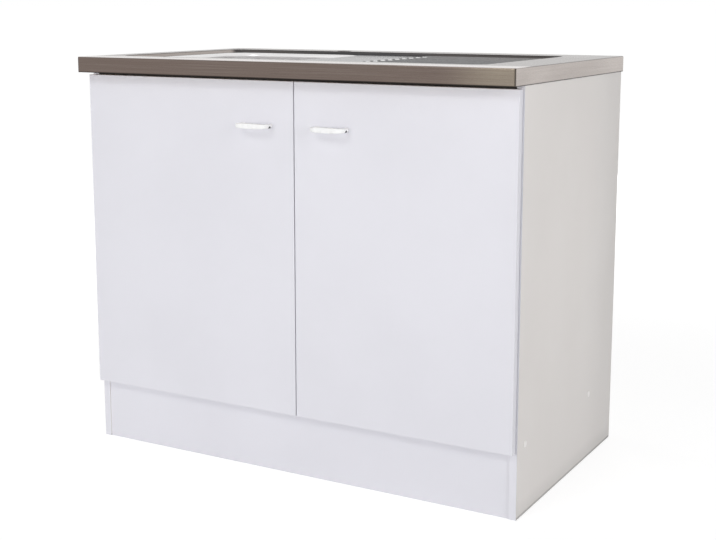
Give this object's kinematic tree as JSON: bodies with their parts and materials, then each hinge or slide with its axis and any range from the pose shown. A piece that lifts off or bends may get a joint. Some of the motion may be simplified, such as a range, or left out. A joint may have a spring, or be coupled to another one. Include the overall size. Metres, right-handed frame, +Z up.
{
  "type": "kitchen sink unit",
  "caption": "Freestanding white sink base cabinet with hinged doors, bow handles and a lay-on stainless steel sink top with a bowl, strainer waste and ribbed drainer.",
  "frame": {"origin": "floor level, under the middle of the sink top", "axes": "+X to the right along the sink top, -Y out of the doors towards the user, +Z up"},
  "size_m": [1, 0.6, 0.85],
  "materials": {
    "white_board": "white melamine-faced chipboard, satin",
    "white_door": "white melamine-faced door board, smooth satin",
    "back_board": "thin white-faced fibreboard",
    "sink_steel": "linen-brushed stainless steel",
    "raw_chipboard": "raw chipboard",
    "beech": "fluted beech",
    "white_plastic": "white moulded plastic",
    "waste_plastic": "white moulded polypropylene",
    "clear_rubber": "soft clear rubber",
    "seal_rubber": "black rubber",
    "zinc": "zinc-plated",
    "nickel": "nickel-plated pressed steel",
    "polished_steel": "polished stainless steel"
  },
  "bodies": {
    "cabinet": {"right_side_panel": "white_board", "left_side_panel": "white_board", "base_shelf": "white_board", "plinth_board": "white_board", "front_rail": "white_board", "rear_rail": "white_board", "back_panel": "back_board", "back_panel_nails": "zinc", "sink_top": "sink_steel", "sink_bowl": "sink_steel", "front_underlay_strip": "raw_chipboard", "rear_underlay_strip": "raw_chipboard", "left_underlay_strip": "raw_chipboard", "right_underlay_strip": "raw_chipboard", "sink_brackets": "zinc", "sink_bracket_screws": "zinc", "panel_screws": "zinc", "screw_cover_caps": "white_plastic", "wooden_dowels": "beech", "cam_bolts": "zinc", "cam_discs": "zinc", "plinth_corner_blocks": "white_plastic", "corner_block_screws": "zinc", "hinge_arms": "nickel", "hinge_arm_screws": "zinc", "hinge_pins": "nickel", "hinge_plates": "nickel", "hinge_plate_screws": "zinc", "waste_cup": "polished_steel", "waste_seals": "seal_rubber", "waste_nut": "waste_plastic", "overflow_rosette": "polished_steel", "overflow_elbow": "waste_plastic", "overflow_pipe": "waste_plastic"},
    "left_door": {"left_door": "white_door", "left_handle": "white_plastic", "left_handle_screws": "zinc", "left_door_buffers": "clear_rubber", "left_hinge_cups": "nickel", "left_hinge_cup_screws": "zinc"},
    "left_hinge_links": {"left_hinge_links": "nickel"},
    "right_door": {"right_door": "white_door", "right_handle": "white_plastic", "right_handle_screws": "zinc", "right_door_buffers": "clear_rubber", "right_hinge_cups": "nickel", "right_hinge_cup_screws": "zinc"},
    "right_hinge_links": {"right_hinge_links": "nickel"},
    "strainer_basket": {"strainer_basket": "polished_steel"}
  },
  "joints": [
    {"name": "left_door_hinge", "type": "hinge", "parent": "cabinet", "child": "left_door", "pos_m": [-0.492, -0.2625, 0.4715], "axis": [0, 0, -1], "range_deg": [0, 100]},
    {"name": "left_link_pivot", "type": "hinge", "parent": "cabinet", "child": "left_hinge_links", "pos_m": [-0.4775, -0.256, 0.4715], "axis": [0, 0, -1], "range_deg": [0, 80]},
    {"name": "right_door_hinge", "type": "hinge", "parent": "cabinet", "child": "right_door", "pos_m": [0.492, -0.2625, 0.4715], "axis": [0, 0, 1], "range_deg": [0, 100]},
    {"name": "right_link_pivot", "type": "hinge", "parent": "cabinet", "child": "right_hinge_links", "pos_m": [0.4775, -0.256, 0.4715], "axis": [0, 0, 1], "range_deg": [0, 80]},
    {"name": "strainer_lift", "type": "slide", "parent": "cabinet", "child": "strainer_basket", "axis": [0, 0, 1], "range_m": [0, 0.06]}
  ],
  "couplings": [
    {"joint": "left_link_pivot", "follows": "left_door_hinge", "ratio": 0.8},
    {"joint": "right_link_pivot", "follows": "right_door_hinge", "ratio": 0.8}
  ]
}
